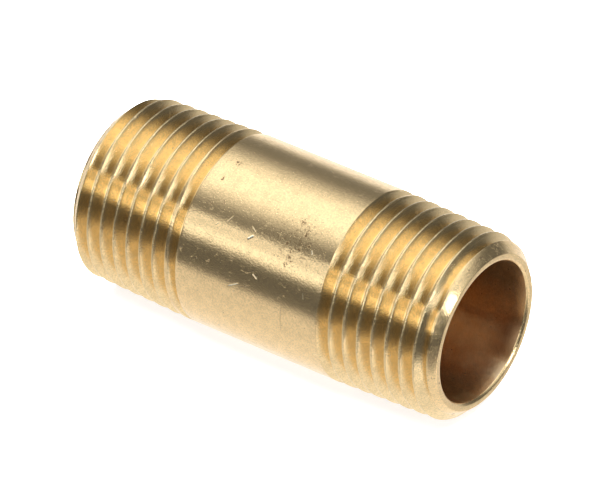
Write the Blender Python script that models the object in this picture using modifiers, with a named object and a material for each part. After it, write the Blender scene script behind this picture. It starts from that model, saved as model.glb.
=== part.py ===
"""A brass pipe nipple: 3/8-18 NPT on both ends, 1-1/2 inches long.

One turned piece. Its axis is world X and its origin is on that axis, half way along the length.
A blank is turned from a profile, and a tapered helical cutter takes each thread's groove out of it.
"""

import math

import bmesh
import bpy

# Driving dimensions, in metres. The thread follows ASME B1.20.1 for 3/8-18 NPT.
INCH = 0.0254
LENGTH = 1.5 * INCH
BARREL_RADIUS = 0.675 * INCH / 2
BORE_RADIUS = 0.5 * INCH / 2
BORE_CHAMFER = 0.0002
FACE_RADIUS = 0.00705
CREST_RADIUS_AT_FACE = 0.00824
PITCH = INCH / 18
TAPER = 1 / 32
FLANK_ANGLE = math.radians(30)
CREST_FLAT = 0.108 * PITCH
ROOT_FLAT = 0.057 * PITCH
FULL_THREAD = 8.0 * PITCH
RUNOUT = 0.55 * PITCH

# Facets round the axis. The blank's edges lie half a facet off the cutters' steps.
FACETS = 36
HALF_FACET = math.pi / FACETS

# The turn at which each groove crosses its end face, in whole facets.
NEAR_START_TURN = 13 / FACETS
FAR_START_TURN = -18 / FACETS

# The groove is as deep as its flanks allow between the root flat and the crest flat.
GROOVE_HALF_WIDTH = (PITCH - CREST_FLAT) / 2
THREAD_DEPTH = (GROOVE_HALF_WIDTH - ROOT_FLAT / 2) / math.tan(FLANK_ANGLE)

CUTTER_LEAD_IN = 0.5 * PITCH
CUTTER_CLEARANCE = 0.00004
CUTTER_HEIGHT = 0.0004
SMALLEST_EDGE = 0.000002
SMOOTH_ANGLE = math.radians(25)

BRASS_COLOUR = (0.78, 0.57, 0.26, 1.0)
BRASS_ROUGHNESS = 0.28


def clear_scene():
    """Remove every object."""
    for thing in list(bpy.data.objects):
        bpy.data.objects.remove(thing, do_unlink=True)


def new_collection(name):
    """A collection linked to the scene."""
    collection = bpy.data.collections.new(name)
    bpy.context.scene.collection.children.link(collection)
    return collection


def brass():
    """Bright machined brass."""
    material = bpy.data.materials.new("brass")
    material.use_nodes = True
    shader = material.node_tree.nodes["Principled BSDF"]
    shader.inputs["Base Color"].default_value = BRASS_COLOUR
    shader.inputs["Metallic"].default_value = 1.0
    shader.inputs["Roughness"].default_value = BRASS_ROUGHNESS
    return material


def crest_radius(depth):
    """Radius of the thread's crests at a depth along the axis from the end face."""
    return CREST_RADIUS_AT_FACE + TAPER * depth


def outer_profile():
    """(radius, height) of the blank's outer side, from the middle up to one end."""
    taper_ends = (BARREL_RADIUS - CREST_RADIUS_AT_FACE) / TAPER
    chamfer_ends = (CREST_RADIUS_AT_FACE - FACE_RADIUS) / (1 - TAPER)
    return [
        (BARREL_RADIUS, LENGTH / 2 - taper_ends),
        (crest_radius(chamfer_ends), LENGTH / 2 - chamfer_ends),
        (FACE_RADIUS, LENGTH / 2),
        (BORE_RADIUS + BORE_CHAMFER, LENGTH / 2),
        (BORE_RADIUS, LENGTH / 2 - BORE_CHAMFER),
    ]


def blank_profile():
    """The blank's whole section, down its outer side and back up the bore."""
    upper = outer_profile()
    lower = [(radius, -height) for radius, height in upper]
    outside = upper[2::-1] + lower[:3]
    inside = lower[3:] + upper[:2:-1]
    return outside + inside


def turned_blank(collection):
    """The blank as a closed profile turned round local Z, which lies along world X."""
    points = [
        (radius * math.cos(HALF_FACET), radius * math.sin(HALF_FACET), height)
        for radius, height in blank_profile()
    ]
    edges = [(i, (i + 1) % len(points)) for i in range(len(points))]
    mesh = bpy.data.meshes.new("nipple_profile")
    mesh.from_pydata(points, edges, [])
    blank = bpy.data.objects.new("nipple_blank", mesh)
    collection.objects.link(blank)
    blank.rotation_euler = (0.0, math.pi / 2, 0.0)
    screw = blank.modifiers.new("turn", "SCREW")
    screw.axis = "Z"
    screw.steps = FACETS
    screw.render_steps = FACETS
    screw.use_merge_vertices = True
    screw.merge_threshold = SMALLEST_EDGE
    return blank


def groove_section(depth, side, start_turn):
    """Corners of the cutter's section where the groove's centre is at this depth from the face."""
    fade = max(0.0, depth - FULL_THREAD) / RUNOUT
    root = crest_radius(depth) - THREAD_DEPTH + fade * (THREAD_DEPTH + CUTTER_CLEARANCE)
    shoulder_half = GROOVE_HALF_WIDTH + CUTTER_CLEARANCE * math.tan(FLANK_ANGLE)
    shoulder = root + THREAD_DEPTH + CUTTER_CLEARANCE
    outline = [
        (root, -ROOT_FLAT / 2),
        (shoulder, -shoulder_half),
        (shoulder + CUTTER_HEIGHT, -shoulder_half),
        (shoulder + CUTTER_HEIGHT, shoulder_half),
        (shoulder, shoulder_half),
        (root, ROOT_FLAT / 2),
    ]
    angle = 2 * math.pi * (start_turn - side * depth / PITCH)
    centre = side * (LENGTH / 2 - depth)
    return [
        (radius * math.cos(angle), radius * math.sin(angle), centre + offset)
        for radius, offset in outline
    ]


def thread_cutter(name, side, start_turn, collection):
    """A right-hand tapered helical body that lifts out of the blank where the thread ends."""
    steps = math.ceil((CUTTER_LEAD_IN + FULL_THREAD + RUNOUT) / PITCH * FACETS)
    shape = bmesh.new()
    rings = []
    for step in range(steps + 1):
        depth = step * PITCH / FACETS - CUTTER_LEAD_IN
        section = groove_section(depth, side, start_turn)
        rings.append([shape.verts.new(corner) for corner in section])
    for ring, following in zip(rings, rings[1:]):
        for i, corner in enumerate(ring):
            j = (i + 1) % len(ring)
            shape.faces.new((corner, ring[j], following[j], following[i]))
    shape.faces.new(reversed(rings[0]))
    shape.faces.new(rings[-1])
    bmesh.ops.recalc_face_normals(shape, faces=shape.faces)
    mesh = bpy.data.meshes.new(name)
    shape.to_mesh(mesh)
    shape.free()
    cutter = bpy.data.objects.new(name, mesh)
    cutter.rotation_euler = (0.0, math.pi / 2, 0.0)
    cutter.hide_render = True
    cutter.display_type = "WIRE"
    collection.objects.link(cutter)
    return cutter


def cut(target, cutter):
    """Take a cutter out of the target."""
    boolean = target.modifiers.new(cutter.name, "BOOLEAN")
    boolean.operation = "DIFFERENCE"
    boolean.solver = "EXACT"
    boolean.object = cutter


def finished_piece(name, source, collection):
    """The source with its modifiers applied, its tiny edges closed, and smooth round faces."""
    bpy.context.view_layer.update()
    graph = bpy.context.evaluated_depsgraph_get()
    mesh = bpy.data.meshes.new_from_object(source.evaluated_get(graph))
    mesh.transform(source.matrix_world)
    mesh.name = name
    shape = bmesh.new()
    shape.from_mesh(mesh)
    bmesh.ops.remove_doubles(shape, verts=shape.verts, dist=SMALLEST_EDGE)
    bmesh.ops.dissolve_degenerate(shape, edges=shape.edges, dist=SMALLEST_EDGE)
    shape.to_mesh(mesh)
    shape.free()
    mesh.shade_smooth()
    mesh.set_sharp_from_angle(angle=SMOOTH_ANGLE)
    piece = bpy.data.objects.new(name, mesh)
    collection.objects.link(piece)
    bpy.data.objects.remove(source, do_unlink=True)
    return piece


def main():
    clear_scene()
    parts = new_collection("pipe_nipple")
    cutters = new_collection("cutters")
    blank = turned_blank(parts)
    cut(blank, thread_cutter("near_groove", 1, NEAR_START_TURN, cutters))
    cut(blank, thread_cutter("far_groove", -1, FAR_START_TURN, cutters))
    body = finished_piece("nipple_body", blank, parts)
    body.data.materials.clear()
    body.data.materials.append(brass())


main()
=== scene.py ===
"""A brass pipe nipple lying on a pale floor under soft studio light.

The nipple is one turned piece: a plain barrel, a tapered 3/8-18 NPT thread on each end and a through bore.
Its axis is world X. A place on it is given by its depth from an end face, by its radius, and by its turn:
the share of a full turn from the front (-Y) over the top (+Z).
"""

import math

import bmesh
import bpy
import numpy as np
from mathutils import Matrix, Vector


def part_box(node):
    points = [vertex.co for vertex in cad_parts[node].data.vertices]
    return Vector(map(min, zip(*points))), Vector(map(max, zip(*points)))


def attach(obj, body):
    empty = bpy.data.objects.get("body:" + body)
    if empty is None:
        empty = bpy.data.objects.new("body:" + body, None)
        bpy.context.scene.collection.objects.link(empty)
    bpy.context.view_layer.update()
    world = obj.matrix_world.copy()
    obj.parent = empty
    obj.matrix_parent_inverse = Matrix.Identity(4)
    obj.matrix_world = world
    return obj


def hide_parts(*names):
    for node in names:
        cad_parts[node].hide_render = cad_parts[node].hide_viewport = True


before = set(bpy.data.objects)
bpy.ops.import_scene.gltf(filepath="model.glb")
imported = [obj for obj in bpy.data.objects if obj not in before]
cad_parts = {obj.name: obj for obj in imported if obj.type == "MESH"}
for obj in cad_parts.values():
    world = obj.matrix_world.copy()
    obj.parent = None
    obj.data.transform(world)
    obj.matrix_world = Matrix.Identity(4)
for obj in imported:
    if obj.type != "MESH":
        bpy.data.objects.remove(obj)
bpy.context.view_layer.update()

# ---------------------------------------------------------------------------
# Dimensions, in metres. The length and the barrel come from the frame, and the rest is the thread's
# standard.
# ---------------------------------------------------------------------------
NODE = "nipple_body"
LOW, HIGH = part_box(NODE)
CAD_FACETS = 36
LENGTH = HIGH.x - LOW.x
BARREL_RADIUS = HIGH.z / math.cos(math.pi / CAD_FACETS)
INCH = 0.0254
PITCH = INCH / 18
TAPER = 1 / 32
FLANK = math.tan(math.radians(30))
FACE_RADIUS = 0.00705
CREST_AT_FACE = 0.00824
ROOT_HALF = 0.0285 * PITCH
CREST_HALF = 0.054 * PITCH
DEPTH = (PITCH / 2 - CREST_HALF - ROOT_HALF) / FLANK
BORE_RADIUS = 0.006375
RIM_RADIUS = 0.006575

# ---------------------------------------------------------------------------
# The fine mesh
# ---------------------------------------------------------------------------
COLUMNS = 216
BARREL_ROWS = 26
BORE_ROWS = 28
EDGE_BREAK = 0.00003
THREAD_END = 9.1 * PITCH
TURNS_DRAWN = range(-2, 11)
SNAP = 0.00002

# The radius of a crest's rounded corner, for corners that face +X (1) and -X (-1), and past the last full
# crest.
CREST_CURVES = {1: 0.00006, -1: 0.00012}
LAST_CURVE = 0.00004
LAST_CREST = 7.35 * PITCH
LAST_CREST_FADE = 0.3 * PITCH

# A groove's half width stays in these limits where it runs out. Its edge is found in this many steps.
GROOVE_LIMITS = (0.15 * PITCH, 0.455 * PITCH)
EDGE_STEPS = 24

# A groove less deep than this has smaller crest corners, or less wear.
SHALLOW_FOR_CURVE = 0.35 * DEPTH
SHALLOW_FOR_WEAR = 0.3 * DEPTH

# Rows up half a groove: shares of the root's flat, shares of the flank, and slopes of the crest's curve in
# degrees.
ROOT_ROWS = (0.6, 1.7)
FLANK_ROWS = (0.2, 0.8)
CREST_ROWS = (60, 35, 10)
ROWS_PER_TURN = 2 + 2 * (len(ROOT_ROWS) + len(FLANK_ROWS) + len(CREST_ROWS))
WORN_LEFT_ROWS = 2
WORN_RIGHT_ROWS = 3

# Behind this depth an uncut face belongs to the barrel.
BARREL_STARTS = 7.4 * PITCH

# Wear along a crest: random steps in a turn, how many turns of them there are, how many lie before turn 0,
# their seeds, the height of the wobble, and where burrs and nicks begin and how much they stand out or cut
# in, in metres.
WEAR_STEPS = 90
WEAR_TURNS = 14
WEAR_LEAD = 2
WOBBLE_SEED = 21
RARE_SEED = 31
WOBBLE = 0.000005
BURR_ABOVE = 2.0
BURR = 0.000014
NICK_BELOW = -1.7
NICK = 0.000035

# Each thread: which end it is on, where its grooves cross the face in turns, and where it fades out.
THREADS = {
    "near": {"side": 1, "phase": 0.113, "full": 8.05 * PITCH, "runout": 0.45 * PITCH},
    "far": {"side": -1, "phase": 0.764, "full": 7.95 * PITCH, "runout": 0.80 * PITCH},
}

# Dents: depth from the near face, turn, radius of the dent, how deep it is.
DENTS = [
    (0.00055, 0.085, 0.00022, 0.00007),
    (0.00075, 0.170, 0.00028, 0.00005),
    (0.00070, 0.060, 0.00018, 0.00005),
    (0.00040, 0.400, 0.00020, 0.00005),
]


def smooth_step(value):
    """0 below 0, 1 above 1, and a smooth rise between."""
    value = np.clip(value, 0.0, 1.0)
    return value * value * (3 - 2 * value)


def blank_radius(depth):
    """Outside radius before threading: end chamfer, pipe taper, then barrel."""
    chamfer = FACE_RADIUS + depth
    taper = CREST_AT_FACE + TAPER * depth
    return np.minimum(np.minimum(chamfer, taper), BARREL_RADIUS)


def root_radius(centre, thread):
    """Radius of a groove's floor where the groove's centre is at this depth."""
    fade = smooth_step((centre - thread["full"]) / thread["runout"])
    return CREST_AT_FACE + TAPER * centre - DEPTH + fade * (DEPTH + EDGE_BREAK)


def groove_edge(centre, root, way):
    """Distance from a groove's centre to its edge on one side: where its flank meets the blank."""
    edge = np.full_like(centre, PITCH / 2 - CREST_HALF)
    for _ in range(EDGE_STEPS):
        edge = ROOT_HALF + (blank_radius(centre + way * edge) - root) * FLANK
        edge = np.clip(edge, *GROOVE_LIMITS)
    return edge


def helix_noise(turns, seed):
    """Random values along a helix, read at positions given in turns."""
    count = WEAR_STEPS * WEAR_TURNS
    values = np.random.default_rng(seed).normal(size=count)
    return np.interp((turns + WEAR_LEAD) * WEAR_STEPS, np.arange(count), values)


def half_groove(centre, root, way, side):
    """Rows from a groove's centre up one flank onto the crest, as offsets along the axis and radii."""
    crest_curve = CREST_CURVES[way * side]
    edge = groove_edge(centre, root, way)
    place = centre + way * edge
    fade = smooth_step((place - LAST_CREST) / LAST_CREST_FADE)
    size = crest_curve - (crest_curve - LAST_CURVE) * fade
    height = size * np.clip((blank_radius(place) - root) / SHALLOW_FOR_CURVE, 0.0, 1.0)
    foot = edge + size * (FLANK - math.sin(math.radians(CREST_ROWS[0])))
    offsets = [share * ROOT_HALF + 0.0 * edge for share in ROOT_ROWS]
    offsets += [2 * ROOT_HALF + share * (foot - 2 * ROOT_HALF) for share in FLANK_ROWS]
    rows = []
    for offset in offsets:
        floor = root + np.maximum(0.0, offset - ROOT_HALF) / FLANK
        rows.append((offset, np.minimum(floor, blank_radius(centre + way * offset))))
    for degrees in CREST_ROWS:
        slope = math.radians(degrees)
        offset = edge + size * (FLANK - math.sin(slope))
        drop = height * (1 - math.cos(slope))
        floor = root + (offset - ROOT_HALF) / FLANK
        rows.append((offset, np.minimum(floor, blank_radius(centre + way * offset) - drop)))
    return rows


def crest_wear(along, thread):
    """Small dents and burrs along the crest."""
    wobble = WOBBLE * helix_noise(along, WOBBLE_SEED + thread["side"])
    rare = helix_noise(along, RARE_SEED + thread["side"])
    burr = BURR * np.maximum(0.0, rare - BURR_ABOVE)
    nick = NICK * np.maximum(0.0, NICK_BELOW - rare)
    return wobble + burr - nick


def thread_rows(thread):
    """Depth, radius and groove depth of every vertex of one threaded end, row by row from its face."""
    turn = np.arange(COLUMNS) / COLUMNS
    side = thread["side"]
    depths, radii, cuts = [], [], []
    for number in TURNS_DRAWN:
        along = number + thread["phase"] + side * turn
        centre = (along + 0.5) * PITCH
        root = root_radius(centre, thread)
        deep = np.clip((blank_radius(centre) - root) / SHALLOW_FOR_WEAR, 0.0, 1.0)
        left = [(-offset, radius) for offset, radius in half_groove(centre, root, -1, side)][::-1]
        middle = [(0.0 * centre, np.minimum(root, blank_radius(centre)))]
        right = half_groove(centre, root, 1, side)
        crest = [(PITCH / 2 + 0.0 * centre, blank_radius(centre + PITCH / 2))]
        for row, (offset, radius) in enumerate(left + middle + right + crest):
            depth = centre + offset
            surface = blank_radius(depth)
            if row < WORN_LEFT_ROWS:
                radius = radius + deep * crest_wear(along - 1, thread)
            if row >= ROWS_PER_TURN - WORN_RIGHT_ROWS:
                radius = radius + deep * crest_wear(along, thread)
            depths.append(depth)
            radii.append(radius)
            cuts.append(surface - radius)
    return np.array(depths), np.array(radii), np.array(cuts)


class Surface:
    """Collects the points and faces of the nipple. Faces carry the number of their finish."""

    def __init__(self):
        self.points = []
        self.faces = []
        self.finishes = []
        self.count = 0

    def add_points(self, x, radius, turn):
        """Adds points and returns their numbers, in the shape of x."""
        x, radius, turn = np.broadcast_arrays(x, radius, turn)
        angle = 2 * np.pi * turn
        points = np.stack([x, -radius * np.cos(angle), radius * np.sin(angle)], -1)
        self.points.append(points.reshape(-1, 3))
        numbers = self.count + np.arange(x.size).reshape(x.shape)
        self.count += x.size
        return numbers

    def add_faces(self, first, second, finish, first_next=None, second_next=None):
        """Joins two rows of columns, going round. Corners that coincide make a triangle or nothing."""
        first_next = np.roll(first, -1) if first_next is None else first_next
        second_next = np.roll(second, -1) if second_next is None else second_next
        finish = np.broadcast_to(finish, first.shape)
        for a, b, c, d, kind in zip(first, second, second_next, first_next, finish):
            corners = [a]
            for corner in (b, c, d):
                if corner not in corners:
                    corners.append(corner)
            if len(corners) > 2:
                self.faces.append([int(corner) for corner in corners])
                self.finishes.append(int(kind))


FINISHES = ("barrel", "thread", "chamfer", "bore")
BARREL, THREAD, CHAMFER, BORE = range(4)


def face_rings(surface, side, turn):
    """The rings from an end's chamfer over its flat face and rim into the bore, outermost first."""
    outline = [
        (EDGE_BREAK, FACE_RADIUS + EDGE_BREAK),
        (0.25 * EDGE_BREAK, FACE_RADIUS - 0.1 * EDGE_BREAK),
        (0.0, FACE_RADIUS - 1.6 * EDGE_BREAK),
        (0.0, (FACE_RADIUS + RIM_RADIUS) / 2),
        (0.0, RIM_RADIUS + EDGE_BREAK),
        (0.4 * EDGE_BREAK, RIM_RADIUS - 0.2 * EDGE_BREAK),
        (RIM_RADIUS - BORE_RADIUS - EDGE_BREAK, BORE_RADIUS + EDGE_BREAK),
        (RIM_RADIUS - BORE_RADIUS + EDGE_BREAK, BORE_RADIUS),
    ]
    return [
        surface.add_points(np.full(COLUMNS, side * (LENGTH / 2 - depth)), radius, turn)
        for depth, radius in outline
    ]


def threaded_end(surface, thread, face_ring, barrel_ring):
    """The helical rows of one end. Rows that leave it join the face's ring or the barrel's ring."""
    side = thread["side"]
    turn = np.arange(COLUMNS) / COLUMNS
    depths, radii, cuts = thread_rows(thread)
    numbers = surface.add_points(side * (LENGTH / 2 - depths), radii, turn)
    before = depths < EDGE_BREAK + SNAP
    beyond = depths > THREAD_END - SNAP
    numbers = np.where(before, face_ring, np.where(beyond, barrel_ring, numbers))
    shift = side * ROWS_PER_TURN
    following = np.roll(numbers, -1, axis=1)
    for row in range(len(numbers)):
        if row + shift < 0:
            following[row, -1] = face_ring[0]
        elif row + shift >= len(numbers):
            following[row, -1] = barrel_ring[0]
        else:
            following[row, -1] = numbers[row + shift, 0]
    on_cone = depths < (CREST_AT_FACE - FACE_RADIUS) / (1 - TAPER)
    uncut = np.where(on_cone, CHAMFER, np.where(depths > BARREL_STARTS, BARREL, THREAD))
    cut = cuts > EDGE_BREAK
    for row in range(len(numbers) - 1):
        finish = np.where(cut[row] | cut[row + 1], THREAD, uncut[row])
        surface.add_faces(numbers[row], numbers[row + 1], finish, following[row], following[row + 1])


def nipple_surface():
    """The whole closed surface."""
    surface = Surface()
    turn = np.arange(COLUMNS) / COLUMNS
    reach = LENGTH / 2 - THREAD_END
    barrel = [
        surface.add_points(np.full(COLUMNS, x), BARREL_RADIUS, turn)
        for x in np.linspace(reach, -reach, BARREL_ROWS)
    ]
    for row, following in zip(barrel, barrel[1:]):
        surface.add_faces(row, following, BARREL)
    rims = {}
    for name, thread in THREADS.items():
        rings = face_rings(surface, thread["side"], turn)
        for ring, following in zip(rings, rings[1:]):
            surface.add_faces(ring, following, CHAMFER)
        threaded_end(surface, thread, rings[0], barrel[0] if name == "near" else barrel[-1])
        rims[name] = rings[-1]
    inset = LENGTH / 2 - (RIM_RADIUS - BORE_RADIUS + EDGE_BREAK)
    inside = [
        surface.add_points(np.full(COLUMNS, x), BORE_RADIUS, turn)
        for x in np.linspace(inset, -inset, BORE_ROWS)[1:-1]
    ]
    bore = [rims["near"], *inside, rims["far"]]
    for row, following in zip(bore, bore[1:]):
        surface.add_faces(row, following, BORE)
    return surface


def dented(points):
    """Pushes the dents into the points."""
    for depth, turn, reach, push in DENTS:
        radius = blank_radius(np.array(depth))
        angle = 2 * math.pi * turn
        centre = (LENGTH / 2 - depth, -radius * math.cos(angle), radius * math.sin(angle))
        distance = np.linalg.norm(points - np.array(centre), axis=1)
        inward = -push * np.exp(-((distance / reach) ** 2))
        outward = points * (0.0, 1.0, 1.0)
        outward /= np.linalg.norm(outward, axis=1)[:, None]
        points = points + inward[:, None] * outward
    return points


def nipple_mesh():
    """The nipple's mesh, with its unused points gone."""
    surface = nipple_surface()
    points = dented(np.concatenate(surface.points))
    used = np.unique(np.concatenate([np.array(face) for face in surface.faces]))
    renumbered = np.full(len(points), -1)
    renumbered[used] = np.arange(len(used))
    faces = [[int(renumbered[corner]) for corner in face] for face in surface.faces]
    mesh = bpy.data.meshes.new("nipple")
    mesh.from_pydata(points[used].tolist(), [], faces)
    mesh.polygons.foreach_set("material_index", surface.finishes)
    mesh.update()
    return mesh


def closed_outward(piece):
    """Turns every face outward, and says how many faces and open edges there are."""
    shape = bmesh.new()
    shape.from_mesh(piece.data)
    bmesh.ops.recalc_face_normals(shape, faces=shape.faces)
    open_edges = sum(not edge.is_manifold for edge in shape.edges)
    shape.to_mesh(piece.data)
    shape.free()
    print("nipple faces", len(piece.data.polygons), "open edges", open_edges)


# ---------------------------------------------------------------------------
# Node helpers
# ---------------------------------------------------------------------------
# The places of a Mix node's sockets that hold its two colours and its mixed colour.
MIX_FIRST = 6
MIX_SECOND = 7
MIX_RESULT = 2


class Nodes:
    """Short ways to add and link the nodes of one tree."""

    def __init__(self, tree):
        self.tree = tree

    def add(self, kind, **settings):
        """A new node with its settings."""
        node = self.tree.nodes.new(kind)
        for name, value in settings.items():
            setattr(node, name, value)
        return node

    def put(self, socket, value):
        """Links a socket to an output, or sets its value."""
        if isinstance(value, bpy.types.NodeSocket):
            self.tree.links.new(value, socket)
        else:
            socket.default_value = value

    def math(self, operation, *values, clamp=False):
        """The output of a math node."""
        node = self.add("ShaderNodeMath", operation=operation, use_clamp=clamp)
        for socket, value in zip(node.inputs, values):
            self.put(socket, value)
        return node.outputs[0]

    def ramp(self, value, low, high, to_low=0.0, to_high=1.0):
        """A smooth step from to_low to to_high as value goes from low to high."""
        node = self.add("ShaderNodeMapRange", interpolation_type="SMOOTHSTEP")
        for name, number in zip(
            ("Value", "From Min", "From Max", "To Min", "To Max"), (value, low, high, to_low, to_high)
        ):
            self.put(node.inputs[name], number)
        return node.outputs["Result"]

    def product(self, first, *others):
        """The values multiplied together."""
        for other in others:
            first = self.math("MULTIPLY", first, other)
        return first

    def line(self, value, slope, start):
        """A straight line: start where value is 0, and slope more for each 1 of value."""
        return self.math("MULTIPLY_ADD", value, slope, start)

    def total(self, terms):
        """The sum of outputs, each times its number."""
        whole = 0.0
        for output, factor in terms:
            whole = self.line(output, factor, whole)
        return whole

    def mixed(self, share, first, second):
        """A colour that goes from first to second as share goes from 0 to 1."""
        mix = self.add("ShaderNodeMix", data_type="RGBA")
        self.put(mix.inputs["Factor"], share)
        self.put(mix.inputs[MIX_FIRST], first)
        self.put(mix.inputs[MIX_SECOND], second)
        return mix.outputs[MIX_RESULT]

    def parts(self, vector):
        """The x, y and z of a vector."""
        axes = self.add("ShaderNodeSeparateXYZ")
        self.put(axes.inputs[0], vector)
        return axes.outputs

    def degrees_round(self, y, z):
        """The angle round the nipple's axis in degrees: 0 at the front and 90 at the top."""
        return self.math("DEGREES", self.math("ARCTAN2", z, self.math("MULTIPLY", y, -1.0)))

    def window(self, value, rise, fall):
        """1 between two limits, each given as the (start, end) of its soft edge."""
        return self.math("MULTIPLY", self.ramp(value, *rise), self.ramp(value, *fall, 1.0, 0.0))


# ---------------------------------------------------------------------------
# Studio: a pale floor, and soft lights that only reflections see
# ---------------------------------------------------------------------------
# A direction is told by its x, y and z and by its angle round the nipple's axis. A light's window is two
# soft edges, where it comes in and where it goes out, each given as (start, end). Angles are in degrees.
AMBIENT = 0.10
LIGHT_TINT = (0.97, 1.0, 1.02, 1.0)
TABLE_TINT = (1.0, 0.985, 0.97, 1.0)
WHITE = (1.0, 1.0, 1.0, 1.0)

# The table: the height of its far edge, how soft the edge is, and its strength.
TABLE_EDGE = -0.147
TABLE_EDGE_PER_Y = 0.229
TABLE_EDGE_PER_X = -0.37
FRONT_RISE = 0.33
FRONT_RISE_X = (-0.2, 0.1)
FRONT_RISE_Y = (-0.5, 0.0)
TABLE_SOFTNESS = 0.13
TABLE_SOFTNESS_PER_Y = 0.06
TABLE_STRENGTH = 0.86
TABLE_STRENGTH_PER_Y = 0.32

# The table is dimmer far off to the back right, and dark where the photographer stands.
FAR_REACH = (0.5, 1.3)
FAR_HEIGHT = (-0.45, -0.15)
FAR_STRENGTHS = (0.52, 0.40)
PERSON_TOWARD = (0.77, -0.60, -0.21)
PERSON_EDGE = (0.885, 0.965)
PERSON_STRENGTH = 0.08

# A pale patch low on the right.
LOW_RIGHT_X = (0.70, 0.82)
LOW_RIGHT_Z = (-0.50, -0.38)
LOW_RIGHT_STRENGTH = 0.4

# The lights are stronger in the middle of their length, which mostly the crests' corners mirror.
MIDDLE_X = ((-0.30, 0.0), (0.45, 0.60))

# The overhead softbox.
OVERHEAD_ANGLE = ((52, 88), (102, 150))
OVERHEAD_STRENGTH = 1.30
OVERHEAD_MIDDLE = 0.2
OVERHEAD_RIGHT_X = (0.2, 0.8)
OVERHEAD_RIGHT = 0.6
OVERHEAD_LEFT_X = (-0.90, -0.60)

# The front strip light, with a seam across it.
STRIP_ANGLE = ((11, 21), (41.5, 45.5))
STRIP_SLOPE_ANGLE = (25, 31)
STRIP_STRENGTHS = (1.25, 0.95)
SEAM_ANGLE = ((31.5, 33), (34, 35.5))
SEAM_DARKNESS = 0.6
STRIP_MIDDLE = 0.4
STRIP_END_X = (0.55, 0.80)

# Dim light between the strip and the softbox, and a dim wall at the back left.
GAP_ANGLE = ((36, 42), (60, 80))
GAP_STRENGTH = 0.05
GAP_MIDDLE = 0.2
WALL_ANGLE = ((105, 135), (160, 180))
WALL_X = (-0.15, 0.15)
WALL_STRENGTH = 0.05

# The strong panel off the near end, and a weaker glow round it.
PANEL_ANGLE = ((49, 57), (80, 94))
PANEL_X = ((0.80, 0.86), (0.93, 0.96))
PANEL_STRENGTH = 7.0
GLOW_ANGLE = ((46, 49), (84, 98))
GLOW_X = (0.68, 0.80)
GLOW_Z = (0.03, 0.15)


def table(n, direction):
    """How far a direction is below the table's edge, from 0 to 1, and how strong the table is there."""
    x, y, z = n.parts(direction)
    edge = n.line(y, TABLE_EDGE_PER_Y, TABLE_EDGE)
    edge = n.line(n.math("MAXIMUM", x, 0.0), TABLE_EDGE_PER_X, edge)
    edge = n.math("ADD", edge, n.product(n.ramp(x, *FRONT_RISE_X), n.ramp(y, *FRONT_RISE_Y, FRONT_RISE, 0.0)))
    softness = n.line(y, TABLE_SOFTNESS_PER_Y, TABLE_SOFTNESS)
    below = n.ramp(n.math("DIVIDE", n.math("SUBTRACT", edge, z), softness), -1.0, 1.0)
    far = n.ramp(n.math("ADD", x, y), *FAR_REACH, 1.0, n.ramp(z, *FAR_HEIGHT, *FAR_STRENGTHS))
    person = n.add("ShaderNodeVectorMath", operation="DOT_PRODUCT")
    n.put(person.inputs[0], direction)
    n.put(person.inputs[1], PERSON_TOWARD)
    shadow = n.ramp(person.outputs["Value"], *PERSON_EDGE, 1.0, PERSON_STRENGTH)
    strength = n.product(n.line(y, TABLE_STRENGTH_PER_Y, TABLE_STRENGTH), below, far, shadow)
    low_right = n.product(n.ramp(x, *LOW_RIGHT_X), n.ramp(z, *LOW_RIGHT_Z, LOW_RIGHT_STRENGTH, 0.0))
    return below, n.math("ADD", strength, low_right)


def overhead(n, x, angle, middle):
    """The long softbox above."""
    return n.product(
        n.window(angle, *OVERHEAD_ANGLE),
        OVERHEAD_STRENGTH,
        n.ramp(x, *OVERHEAD_RIGHT_X, 1.0, OVERHEAD_RIGHT),
        n.ramp(x, *OVERHEAD_LEFT_X),
        n.line(middle, OVERHEAD_MIDDLE, 1.0),
    )


def strip(n, x, angle, middle):
    """The low strip in front, with its seam."""
    seam = n.product(n.window(angle, *SEAM_ANGLE), SEAM_DARKNESS)
    return n.product(
        n.window(angle, *STRIP_ANGLE),
        n.ramp(angle, *STRIP_SLOPE_ANGLE, *STRIP_STRENGTHS),
        n.math("SUBTRACT", 1.0, seam),
        n.line(middle, STRIP_MIDDLE, 1.0),
        n.ramp(x, *STRIP_END_X, 1.0, 0.0),
    )


def dim_room(n, x, angle, middle):
    """The gap between the lights and the wall behind."""
    gap = n.product(n.window(angle, *GAP_ANGLE), n.line(middle, GAP_MIDDLE, GAP_STRENGTH))
    wall = n.product(n.window(angle, *WALL_ANGLE), n.ramp(x, *WALL_X, WALL_STRENGTH, 0.0))
    return n.math("ADD", gap, wall)


def end_panel(n, x, z, angle):
    """The panel off the near end, with its glow."""
    panel = n.product(n.window(angle, *PANEL_ANGLE), n.window(x, *PANEL_X), PANEL_STRENGTH)
    glow = n.product(n.window(angle, *GLOW_ANGLE), n.ramp(x, *GLOW_X), n.ramp(z, *GLOW_Z))
    return n.math("ADD", panel, glow)


def background(n, colour, strength):
    """A world shader of one colour and strength."""
    shader = n.add("ShaderNodeBackground")
    n.put(shader.inputs["Color"], colour)
    n.put(shader.inputs["Strength"], strength)
    return shader.outputs[0]


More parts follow.
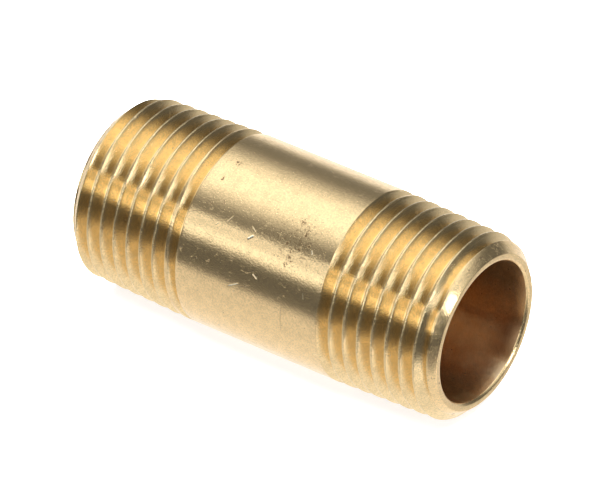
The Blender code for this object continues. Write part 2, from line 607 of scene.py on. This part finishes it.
def studio_world():
    """What the metal mirrors. The camera itself sees plain white."""
    world = bpy.data.worlds.new("studio")
    bpy.context.scene.world = world
    world.use_nodes = True
    world.node_tree.nodes.clear()
    n = Nodes(world.node_tree)
    direction = n.add("ShaderNodeTexCoord").outputs["Generated"]
    x, y, z = n.parts(direction)
    angle = n.degrees_round(y, z)
    middle = n.window(x, *MIDDLE_X)
    below, table_strength = table(n, direction)
    soft = n.math("ADD", overhead(n, x, angle, middle), dim_room(n, x, angle, middle))
    strong = n.math("MAXIMUM", strip(n, x, angle, middle), end_panel(n, x, z, angle))
    brightest = n.math("MAXIMUM", table_strength, n.math("MAXIMUM", soft, strong))
    tint = n.mixed(below, LIGHT_TINT, TABLE_TINT)
    mix = n.add("ShaderNodeMixShader")
    n.put(mix.inputs[0], n.add("ShaderNodeLightPath").outputs["Is Camera Ray"])
    n.put(mix.inputs[1], background(n, tint, n.math("ADD", brightest, AMBIENT)))
    n.put(mix.inputs[2], background(n, WHITE, 1.0))
    n.put(n.add("ShaderNodeOutputWorld").inputs["Surface"], mix.outputs[0])


FLOOR_HALF = 40 * LENGTH
FLOOR_COLOUR = (0.55, 0.55, 0.55, 1.0)
FLOOR_ROUGHNESS = 0.9
FLOOR_GLOW = 0.72
LAMP_SIZE = 12 * LENGTH
LAMP_HEIGHT = 8 * LENGTH
LAMP_WATTS = 9.0


def studio_floor():
    """A wide matt white floor under the nipple."""
    bpy.ops.mesh.primitive_plane_add(size=2 * FLOOR_HALF, location=(0.0, 0.0, -BARREL_RADIUS))
    floor = bpy.context.object
    floor.name = "floor"
    material = bpy.data.materials.new("floor_white")
    material.use_nodes = True
    shader = material.node_tree.nodes["Principled BSDF"]
    shader.inputs["Base Color"].default_value = FLOOR_COLOUR
    shader.inputs["Roughness"].default_value = FLOOR_ROUGHNESS
    shader.inputs["Emission Color"].default_value = WHITE
    shader.inputs["Emission Strength"].default_value = FLOOR_GLOW
    floor.data.materials.append(material)
    floor.visible_glossy = False
    floor.visible_shadow = False


def floor_light():
    """A broad lamp overhead, which no reflection shows."""
    light = bpy.data.lights.new("floor_light", "AREA")
    light.shape = "DISK"
    light.size = LAMP_SIZE
    light.energy = LAMP_WATTS
    lamp = bpy.data.objects.new("floor_light", light)
    lamp.location = (0.0, 0.0, LAMP_HEIGHT)
    lamp.visible_glossy = False
    bpy.context.scene.collection.objects.link(lamp)


CAMERA_AZIMUTH = 35.9
CAMERA_ELEVATION = 34.8
CAMERA_DISTANCE = 0.674
CAMERA_SIDE = -0.0001
CAMERA_UP = 0.0015
CAMERA_LENS = 475.0


def camera():
    """A long lens from the front right, above."""
    azimuth = math.radians(CAMERA_AZIMUTH)
    elevation = math.radians(CAMERA_ELEVATION)
    side = Vector((math.cos(azimuth), math.sin(azimuth), 0.0))
    back = Vector(
        (
            math.sin(azimuth) * math.cos(elevation),
            -math.cos(azimuth) * math.cos(elevation),
            math.sin(elevation),
        )
    )
    up = back.cross(side)
    data = bpy.data.cameras.new("camera")
    data.sensor_width = 36.0
    data.lens = CAMERA_LENS
    data.clip_start = 0.01
    data.clip_end = 20.0
    eye = bpy.data.objects.new("camera", data)
    place = back * CAMERA_DISTANCE + side * CAMERA_SIDE + up * CAMERA_UP
    turn = Matrix((side, up, back)).transposed()
    eye.matrix_world = Matrix.Translation(place) @ turn.to_4x4()
    bpy.context.scene.collection.objects.link(eye)
    bpy.context.scene.camera = eye


# ---------------------------------------------------------------------------
# Finishes
# ---------------------------------------------------------------------------
# Scratches on the barrel: place along the axis in millimetres, place round it and slant in degrees, length
# and width in millimetres, and depth in micrometres. A negative depth makes a dark hairline.
SCRATCHES = [
    (-3.0, 45, 60, 1.0, 0.06, 12),
    (-4.0, 40, 60, 0.4, 0.07, 12),
    (-0.5, 40, 45, 0.8, 0.16, 24),
    (-0.5, 45, -30, 0.8, 0.06, 12),
    (1.0, 20, -30, 0.8, 0.08, 18),
    (-1.0, 10, 30, 1.4, 0.08, 24),
    (6.0, 20, -75, 0.9, 0.07, 14),
    (5.5, 45, -60, 0.6, 0.12, 14),
    (4.0, 0, -90, 3.0, 0.09, -14),
]

# Groups of dark spots on the barrel: middle along the axis and its spread in millimetres, middle round it
# and its spread in degrees, and how many spots.
SPOT_GROUPS = [
    (4.0, 0.6, 45, 9, 10),
    (-4.0, 1.2, 65, 12, 4),
]
SPOT_RADIUS = (0.15, 0.28)


def scattered_spots():
    """Place along the axis, place round it in degrees and radius of every dark spot."""
    random = np.random.default_rng(5)
    spots = []
    for middle, spread, angle, angle_spread, count in SPOT_GROUPS:
        for _ in range(count):
            at = middle + spread * random.normal()
            degrees = angle + angle_spread * random.normal()
            spots.append((at, degrees, random.uniform(*SPOT_RADIUS)))
    return spots


def millimetres(n):
    """The place on the piece, in millimetres."""
    place = n.add("ShaderNodeVectorMath", operation="SCALE")
    n.put(place.inputs[0], n.add("ShaderNodeTexCoord").outputs["Object"])
    n.put(place.inputs["Scale"], 1000.0)
    return place.outputs[0]


def noise(n, place, scale, detail=2.0, stretch=(1.0, 1.0, 1.0), turn=(0.0, 0.0, 0.0)):
    """Noise with this many cells a millimetre, stretched and turned."""
    mapping = n.add("ShaderNodeMapping")
    n.put(mapping.inputs["Vector"], place)
    n.put(mapping.inputs["Scale"], stretch)
    n.put(mapping.inputs["Rotation"], turn)
    node = n.add("ShaderNodeTexNoise")
    n.put(node.inputs["Vector"], mapping.outputs[0])
    n.put(node.inputs["Scale"], scale)
    n.put(node.inputs["Detail"], detail)
    return node.outputs[0]


# Fine scratches: how long the cells of their noise are, the line's edge, and the size of their patches.
FINE_STRETCH = (0.35, 6.0, 6.0)
FINE_LINE = (0.003, 0.009)
FINE_PATCH_SCALE = 1.3
FINE_PATCH_EDGE = 0.06


def fine_scratches(n, place, turn, density):
    """Thin broken lines in one direction: 1 on a line and 0 off it."""
    field = noise(n, place, 1.0, 1.0, FINE_STRETCH, turn)
    away = n.math("ABSOLUTE", n.math("SUBTRACT", field, 0.5))
    thin = n.ramp(away, *FINE_LINE, 1.0, 0.0)
    patch = noise(n, place, FINE_PATCH_SCALE, 2.0, turn=turn)
    return n.product(thin, n.ramp(patch, density, density + FINE_PATCH_EDGE))


def arc_of(degrees):
    """The arc in millimetres from the barrel's front to an angle round it."""
    return math.radians(degrees) * BARREL_RADIUS * 1000


def barrel_plane(n, place):
    """Place along the axis and place round it as an arc, in millimetres."""
    x, y, z = n.parts(place)
    round_axis = n.math("ARCTAN2", z, n.math("MULTIPLY", y, -1.0))
    return x, n.product(round_axis, BARREL_RADIUS * 1000)


def square_distance(n, x, arc, at, degrees):
    """The square of the distance to a point of the barrel."""
    away_x = n.math("SUBTRACT", x, at)
    away_arc = n.math("SUBTRACT", arc, arc_of(degrees))
    return n.math("MULTIPLY_ADD", away_x, away_x, n.product(away_arc, away_arc))


def scratch(n, x, arc, mark):
    """The depth of one scratch, in micrometres. Its ends are soft."""
    at, degrees, slant, length, width, depth = mark
    away_x = n.math("SUBTRACT", x, at)
    away_arc = n.math("SUBTRACT", arc, arc_of(degrees))
    cosine, sine = math.cos(math.radians(slant)), math.sin(math.radians(slant))
    along = n.total([(away_x, cosine), (away_arc, sine)])
    across = n.total([(away_x, -sine), (away_arc, cosine)])
    inside = n.ramp(n.math("ABSOLUTE", along), length / 4, length / 2, 1.0, 0.0)
    groove = n.ramp(n.math("ABSOLUTE", across), 0.0, width, depth, 0.0)
    return n.product(inside, groove)


# A dark spot's edge: scale and detail of its raggedness, the noise's range, and the distances in radii
# where the spot is whole and where it ends.
RAGGED_NOISE = (6.0, 3.0)
RAGGED_RANGE = (0.38, 0.62)
RAGGED_REACH = 1.3
SPOT_EDGE = (0.9, 1.5)


def dark_spot(n, x, arc, ragged, spot):
    """1 in the middle of one dark spot, and 0 outside its ragged edge."""
    at, degrees, radius = spot
    distance = n.math("SQRT", square_distance(n, x, arc, at, degrees))
    whole, gone = SPOT_EDGE
    return n.ramp(n.line(ragged, radius, distance), whole * radius, gone * radius, 1.0, 0.0)


def barrel_marks(n, place):
    """Depth of the scratches, and how much dark spot there is."""
    x, arc = barrel_plane(n, place)
    cuts = [(scratch(n, x, arc, mark), 1.0) for mark in SCRATCHES]
    ragged = n.ramp(noise(n, place, *RAGGED_NOISE), *RAGGED_RANGE, 0.0, RAGGED_REACH)
    spots = [(dark_spot(n, x, arc, ragged, spot), 1.0) for spot in scattered_spots()]
    return n.total(cuts), n.total(spots)


# Where the barrel has been gripped: its middle in millimetres and degrees, the specks' noise, how far from
# the middle they thin out, and the noise above which a speck shows, there and far away.
GRIP_AT = (3.9, 47)
GRIP_NOISE = (4.5, 3.0)
GRIP_REACH = (0.8, 4.0)
GRIP_LIMITS = (0.54, 0.70)
GRIP_EDGE = 0.04


def handled_specks(n, place):
    """Specks where the barrel has been gripped: 1 on a speck and 0 off it."""
    x, arc = barrel_plane(n, place)
    distance = n.math("SQRT", square_distance(n, x, arc, *GRIP_AT))
    limit = n.ramp(distance, *GRIP_REACH, *GRIP_LIMITS)
    return n.ramp(n.math("SUBTRACT", noise(n, place, *GRIP_NOISE), limit), 0.0, GRIP_EDGE)


# Rough crests: how far below full radius they fade out in millimetres, their noise, and their height in
# micrometres.
CREST_FADE = (0.03, 0.09)
CREST_NOISE = (7.0, 2.0)
CREST_RANGE = (0.40, 0.62)
CREST_HEIGHT = 9.0


def crest_burrs(n, place):
    """Rough crests: bumps in micrometres where the thread reaches its full radius."""
    x, y, z = n.parts(place)
    radius = n.math("SQRT", n.math("MULTIPLY_ADD", y, y, n.product(z, z)))
    full = n.line(n.math("ABSOLUTE", x), -TAPER, 1000 * (CREST_AT_FACE + TAPER * LENGTH / 2))
    on_crest = n.ramp(n.math("SUBTRACT", full, radius), *CREST_FADE, 1.0, 0.0)
    return n.product(on_crest, n.ramp(noise(n, place, *CREST_NOISE), *CREST_RANGE, 0.0, CREST_HEIGHT))


# Painted light in the bore's colour: pale streaks of painted reflection, and a dark line and dark rim of
# painted shade. Each is a window of angle, and a share. Those near the rim also have a range of x in
# millimetres over which they set in.
BORE_NOISE = (0.6, 3.0)
BORE_RAGGED = 14.0
PAINTED_REFLECTION_STREAK = (((-149, -144), (-134, -110)), 0.55)
PAINTED_REFLECTION_LOW = (((-130, -122), (-112, -104)), (12, 18), 0.9)
PAINTED_REFLECTION_RIM = (((-90, -80), (-68, -60)), (17.0, 17.8), 0.8)
PAINTED_SHADE_LINE = (((-158, -154), (-151, -148)), 0.40)
PAINTED_SHADE_RIM = (((-168, -150), (-132, -122)), (15.5, 18.0), 0.85)


def bore_painted_light(n, place):
    """Painted light in the bore: shares of pale streaks of painted reflection, and of a dark line and rim of
    painted shade.
    """
    x, y, z = n.parts(place)
    angle = n.math("SUBTRACT", n.degrees_round(y, z), BORE_RAGGED / 2)
    ragged = n.line(noise(n, place, *BORE_NOISE), BORE_RAGGED, angle)

    def lengthwise(angles, share):
        return n.product(n.window(ragged, *angles), share)

    def at_rim(angles, reach, share):
        return n.product(n.window(ragged, *angles), n.ramp(x, *reach, 0.0, share))

    reflection_share = n.math("MAXIMUM", lengthwise(*PAINTED_REFLECTION_STREAK), at_rim(*PAINTED_REFLECTION_LOW))
    reflection_share = n.math("MAXIMUM", reflection_share, at_rim(*PAINTED_REFLECTION_RIM))
    return reflection_share, n.math("MAXIMUM", lengthwise(*PAINTED_SHADE_LINE), at_rim(*PAINTED_SHADE_RIM))


# How each finish looks: share of metal, fresh colour, least and most roughness, anisotropy, heights of
# grain, rings, waves and fine scratches in micrometres, and the noise above which fine scratches and dirt
# show.
LOOKS = {
    "barrel": {
        "metal": 0.99,
        "colour": (0.99, 0.73, 0.39),
        "rough": (0.20, 0.25),
        "streak": 0.85,
        "grain": 9.0,
        "rings": 4.0,
        "waves": 9.0,
        "scratch": 3.0,
        "density": 0.60,
        "dirt": 0.70,
    },
    "thread": {
        "metal": 1.0,
        "colour": (0.99, 0.76, 0.42),
        "rough": (0.17, 0.24),
        "streak": 1.0,
        "grain": 6.0,
        "rings": 3.0,
        "waves": 0.0,
        "scratch": 2.0,
        "density": 0.62,
        "dirt": 0.72,
    },
    "chamfer": {
        "metal": 0.99,
        "colour": (0.99, 0.73, 0.39),
        "rough": (0.19, 0.27),
        "streak": 0.85,
        "grain": 9.0,
        "rings": 5.0,
        "waves": 14.0,
        "scratch": 8.0,
        "density": 0.56,
        "dirt": 0.68,
    },
    "bore": {
        "metal": 1.0,
        "colour": (0.87, 0.60, 0.335),
        "rough": (0.28, 0.34),
        "streak": 0.6,
        "grain": 1.0,
        "rings": 2.0,
        "waves": 10.0,
        "scratch": 1.5,
        "density": 0.62,
        "dirt": 0.70,
    },
}


# What the finishes share. A noise is (cells a millimetre, detail), with its stretch where it has one.
GRAIN_NOISE = (6.5, 3.0)
RINGS_NOISE = (1.0, 3.0, (7.0, 0.3, 0.3))
WAVES_NOISE = (0.5, 1.0)
PATCHES_NOISE = (1.1, 4.0)
DIRT_NOISE = (2.6, 2.0)
NOISE_RANGE = (0.40, 0.60)
DIRT_EDGE = 0.08
DIRT_ROUGHNESS = 0.12
DIRT_COVER = 0.85
FINE_TURNS = ((0.4, 0.5, 0.3), (1.3, -0.6, 1.1))
GRAIN_IN_ROUGHNESS = 0.5
GRAIN_IN_COLOUR = 0.65
DULLNESS = 0.87
BUMP_UNIT = 0.000001
STREAK_TURN = 0.25
BROWN = (0.26, 0.15, 0.07, 1.0)
# Bared metal in deep scratches, paler than fresh brass so that it reads as a painted glint.
BARED_AND_GLINT = (1.0, 0.92, 0.70, 1.0)
# The colours of the bore's painted reflection and painted shade.
BORE_PAINTED_REFLECTION = (1.0, 0.80, 0.52, 1.0)
BORE_PAINTED_SHADE = (0.45, 0.27, 0.14, 1.0)

# On the barrel: the depths in micrometres at which a scratch shows bared metal with a painted glint and at
# which it looks like a dark hairline, how much they show, and how deep a dark spot is.
BARED_AND_GLINT_DEPTHS = (7, 14)
BARED_AND_GLINT_SHARE = 0.9
HAIRLINE_DEPTHS = (-9, -3)
HAIRLINE_SHARE = 0.6
GENERAL_DIRT = 0.5
SPOT_DEPTH = 6.0


def relief(n, place, look, grain):
    """The height of the surface in micrometres, before any marks of its own."""
    rings = noise(n, place, *RINGS_NOISE)
    waves = noise(n, place, *WAVES_NOISE)
    first, second = (fine_scratches(n, place, turn, look["density"]) for turn in FINE_TURNS)
    return n.total(
        [
            (grain, look["grain"]),
            (rings, look["rings"]),
            (waves, look["waves"]),
            (n.math("ADD", first, second), -look["scratch"]),
        ]
    )


def marked_barrel(n, place, height, dirt):
    """Height and dirt with the barrel's marks added, and the share of bared metal with a painted glint in its
    scratches.
    """
    cuts, spots = barrel_marks(n, place)
    dirt = n.math("MAXIMUM", dirt, handled_specks(n, place))
    dirt = n.math("MAXIMUM", dirt, n.ramp(cuts, *HAIRLINE_DEPTHS, HAIRLINE_SHARE, 0.0))
    dirt = n.math("ADD", n.product(dirt, GENERAL_DIRT), spots, clamp=True)
    height = n.line(spots, -SPOT_DEPTH, n.math("SUBTRACT", height, cuts))
    return height, dirt, n.ramp(cuts, *BARED_AND_GLINT_DEPTHS, 0.0, BARED_AND_GLINT_SHARE)


def share_of_grain(n, grain, patches, share):
    """Grain and patches blended by a share."""
    return n.line(grain, share, n.product(patches, 1 - share))


def brass(name):
    """Turned brass: fine rings round the axis, grain, scratches and a little tarnish."""
    look = LOOKS[name]
    material = bpy.data.materials.new("brass_" + name)
    material.use_nodes = True
    n = Nodes(material.node_tree)
    shader = material.node_tree.nodes["Principled BSDF"]
    place = millimetres(n)
    grain = noise(n, place, *GRAIN_NOISE)
    patches = noise(n, place, *PATCHES_NOISE)
    height = relief(n, place, look, grain)
    dirt = n.ramp(noise(n, place, *DIRT_NOISE), look["dirt"], look["dirt"] + DIRT_EDGE)
    bared_and_glint = 0.0
    if name == "thread":
        height = n.math("ADD", height, crest_burrs(n, place))
    if name == "barrel":
        height, dirt, bared_and_glint = marked_barrel(n, place, height, dirt)
    uneven = share_of_grain(n, grain, patches, GRAIN_IN_ROUGHNESS)
    rough = n.line(dirt, DIRT_ROUGHNESS, n.ramp(uneven, *NOISE_RANGE, *look["rough"]))
    mottle = n.ramp(share_of_grain(n, grain, patches, GRAIN_IN_COLOUR), *NOISE_RANGE)
    fresh = (*look["colour"], 1.0)
    dull = (*(DULLNESS * part for part in look["colour"]), 1.0)
    colour = n.mixed(n.product(dirt, DIRT_COVER), n.mixed(mottle, fresh, dull), BROWN)
    # Deep scratches on the barrel take a colour paler than fresh brass: bared metal with a painted glint.
    colour = n.mixed(bared_and_glint, colour, BARED_AND_GLINT)
    # In the bore, the base colour carries painted reflection in pale streaks and painted shade in a dark line
    # and rim.
    if name == "bore":
        reflection_share, shade_share = bore_painted_light(n, place)
        colour = n.mixed(shade_share, n.mixed(reflection_share, colour, BORE_PAINTED_REFLECTION), BORE_PAINTED_SHADE)
    bump = n.add("ShaderNodeBump")
    n.put(bump.inputs["Height"], height)
    n.put(bump.inputs["Distance"], BUMP_UNIT)
    n.put(shader.inputs["Base Color"], colour)
    n.put(shader.inputs["Metallic"], look["metal"])
    n.put(shader.inputs["Roughness"], rough)
    n.put(shader.inputs["Normal"], bump.outputs[0])
    n.put(shader.inputs["Anisotropic"], look["streak"])
    n.put(shader.inputs["Anisotropic Rotation"], STREAK_TURN)
    n.put(shader.inputs["Tangent"], n.add("ShaderNodeTangent", direction_type="RADIAL", axis="X").outputs[0])
    return material


def build_nipple():
    """The nipple as one piece, in place of the frame's node."""
    mesh = nipple_mesh()
    piece = bpy.data.objects.new("pipe_nipple", mesh)
    bpy.context.scene.collection.objects.link(piece)
    closed_outward(piece)
    mesh.shade_smooth()
    for name in FINISHES:
        mesh.materials.append(brass(name))
    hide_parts(NODE)
    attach(piece, "root")


build_nipple()
studio_world()
studio_floor()
floor_light()
camera()
bpy.context.scene.view_settings.view_transform = "Standard"
